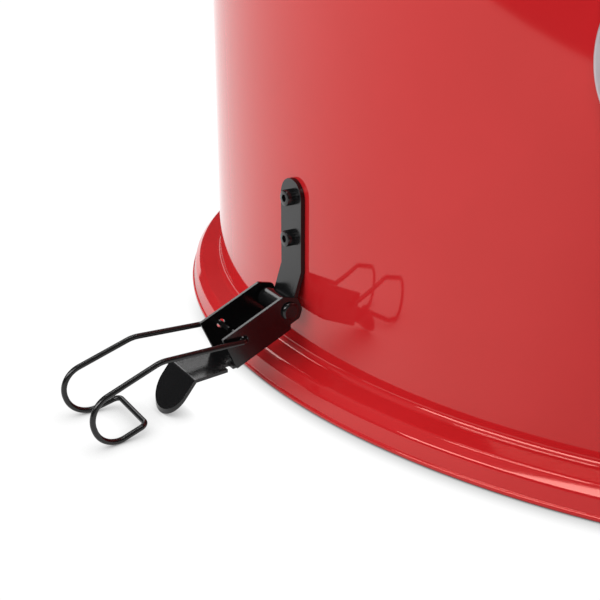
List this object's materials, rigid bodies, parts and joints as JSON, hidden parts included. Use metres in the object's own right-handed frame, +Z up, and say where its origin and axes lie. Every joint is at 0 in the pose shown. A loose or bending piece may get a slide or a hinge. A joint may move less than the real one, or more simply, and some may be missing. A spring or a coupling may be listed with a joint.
{
  "type": "charcoal grill",
  "caption": "Floor-standing barrel-bodied kettle charcoal grill with domed hinged lid, stepped foot flange, toggle latches with wire bails, dampers, grates and dial thermometer.",
  "frame": {"origin": "on the barrel axis at floor level, under the middle of the foot flange", "axes": "+Z up along the barrel axis, -Y towards the front with the thermometer, +X to the right"},
  "size_m": [0.6568, 0.6456, 0.5046],
  "materials": {
    "red_enamel": "gloss red porcelain enamel",
    "black_enamel": "gloss black porcelain enamel",
    "black_coated_steel": "satin black powder coat",
    "black_wire": "semi-gloss black coated spring wire",
    "chrome_plate": "bright plated steel rod",
    "plain_steel": "plain heavy steel rod",
    "stainless": "brushed stainless steel",
    "black_plastic": "moulded heat-proof nylon",
    "clear_glass": "clear flat glass",
    "white_dial": "printed white dial",
    "red_needle": "red lacquer"
  },
  "bodies": {
    "barrel": {"ash_pan": "black_enamel", "barrel_shell": "red_enamel", "bowl_brackets": "stainless", "bracket_rivets": "stainless", "charcoal_bowl": "black_enamel", "charcoal_grate": "plain_steel", "cooking_grate": "chrome_plate", "damper_rivets": "stainless", "damper_seats": "black_coated_steel", "grate_brackets": "stainless", "hinge_lower_leaf": "black_coated_steel", "hinge_nuts": "stainless", "hinge_pin": "stainless", "hinge_screws": "stainless", "latch_rivets": "black_coated_steel", "latch_straps": "black_coated_steel", "pan_feet": "black_plastic", "side_handle_brackets": "black_coated_steel", "side_handle_grips": "black_plastic", "side_handle_nuts": "stainless", "side_handle_rods": "stainless", "side_handle_screws": "stainless", "strap_nuts": "stainless", "strap_screws": "black_coated_steel", "thermometer_case": "stainless", "thermometer_dial": "white_dial", "thermometer_lens": "clear_glass", "thermometer_nut": "stainless", "thermometer_stem": "stainless"},
    "lever_front_left": {"lever_front_left": "black_coated_steel"},
    "bail_front_left": {"bail_front_left": "black_wire"},
    "lever_front_right": {"lever_front_right": "black_coated_steel"},
    "bail_front_right": {"bail_front_right": "black_wire"},
    "lever_back_right": {"lever_back_right": "black_coated_steel"},
    "bail_back_right": {"bail_back_right": "black_wire"},
    "lever_back_left": {"lever_back_left": "black_coated_steel"},
    "bail_back_left": {"bail_back_left": "black_wire"},
    "intake_damper_right": {"intake_damper_right": "stainless"},
    "intake_damper_back": {"intake_damper_back": "stainless"},
    "intake_damper_left": {"intake_damper_left": "stainless"},
    "needle": {"thermometer_needle": "red_needle"},
    "lid": {"lid_shell": "red_enamel", "lid_damper_seat": "black_coated_steel", "lid_damper_rivet": "stainless", "lid_handle_brackets": "black_coated_steel", "lid_handle_grip": "black_plastic", "lid_handle_nuts": "stainless", "lid_handle_rod": "stainless", "lid_handle_screws": "stainless", "hinge_upper_leaf": "black_coated_steel", "hinge_rivets": "stainless"},
    "lid_damper": {"lid_damper": "stainless"}
  },
  "joints": [
    {"name": "latch_lever_front_left", "type": "hinge", "parent": "barrel", "child": "lever_front_left", "pos_m": [-0.16576, -0.23673, 0.0369], "axis": [-0.8192, 0.5736, 0], "range_deg": [0, 113.8]},
    {"name": "latch_bail_front_left", "type": "hinge", "parent": "lever_front_left", "child": "bail_front_left", "pos_m": [-0.17855, -0.25499, 0.02871], "axis": [-0.8192, 0.5736, 0], "range_deg": [-150, 0]},
    {"name": "latch_lever_front_right", "type": "hinge", "parent": "barrel", "child": "lever_front_right", "pos_m": [0.16576, -0.23673, 0.0369], "axis": [-0.8192, -0.5736, 0], "range_deg": [0, 113.8]},
    {"name": "latch_bail_front_right", "type": "hinge", "parent": "lever_front_right", "child": "bail_front_right", "pos_m": [0.17855, -0.25499, 0.02871], "axis": [-0.8192, -0.5736, 0], "range_deg": [-150, 0]},
    {"name": "latch_lever_back_right", "type": "hinge", "parent": "barrel", "child": "lever_back_right", "pos_m": [0.16576, 0.23673, 0.0369], "axis": [0.8192, -0.5736, 0], "range_deg": [0, 113.8]},
    {"name": "latch_bail_back_right", "type": "hinge", "parent": "lever_back_right", "child": "bail_back_right", "pos_m": [0.17855, 0.25499, 0.02871], "axis": [0.8192, -0.5736, 0], "range_deg": [-150, 0]},
    {"name": "latch_lever_back_left", "type": "hinge", "parent": "barrel", "child": "lever_back_left", "pos_m": [-0.16576, 0.23673, 0.0369], "axis": [0.8192, 0.5736, 0], "range_deg": [0, 113.8]},
    {"name": "latch_bail_back_left", "type": "hinge", "parent": "lever_back_left", "child": "bail_back_left", "pos_m": [-0.17855, 0.25499, 0.02871], "axis": [0.8192, 0.5736, 0], "range_deg": [-150, 0]},
    {"name": "intake_damper_turn_right", "type": "hinge", "parent": "barrel", "child": "intake_damper_right", "pos_m": [0.2831, 0, 0.062], "axis": [1, 0, 0], "range_deg": [0, 60]},
    {"name": "intake_damper_turn_back", "type": "hinge", "parent": "barrel", "child": "intake_damper_back", "pos_m": [0, 0.2831, 0.062], "axis": [0, 1, 0], "range_deg": [0, 60]},
    {"name": "intake_damper_turn_left", "type": "hinge", "parent": "barrel", "child": "intake_damper_left", "pos_m": [-0.2831, 0, 0.062], "axis": [-1, 0, 0], "range_deg": [0, 60]},
    {"name": "lid_damper_turn", "type": "hinge", "parent": "lid", "child": "lid_damper", "pos_m": [0, 0, 0.4936], "axis": [0, 0, 1], "range_deg": [0, 45]},
    {"name": "lid_hinge", "type": "hinge", "parent": "barrel", "child": "lid", "pos_m": [0, 0.295, 0.309], "axis": [-1, 0, 0], "range_deg": [0, 95]},
    {"name": "thermometer_needle_turn", "type": "hinge", "parent": "barrel", "child": "needle", "pos_m": [0, -0.282, 0.1595], "axis": [0, 1, 0], "range_deg": [0, 270]}
  ],
  "couplings": [
    {"joint": "latch_bail_front_left", "follows": "latch_lever_front_left", "ratio": -1.309},
    {"joint": "latch_bail_front_right", "follows": "latch_lever_front_right", "ratio": -1.309},
    {"joint": "latch_bail_back_right", "follows": "latch_lever_back_right", "ratio": -1.309},
    {"joint": "latch_bail_back_left", "follows": "latch_lever_back_left", "ratio": -1.309}
  ]
}
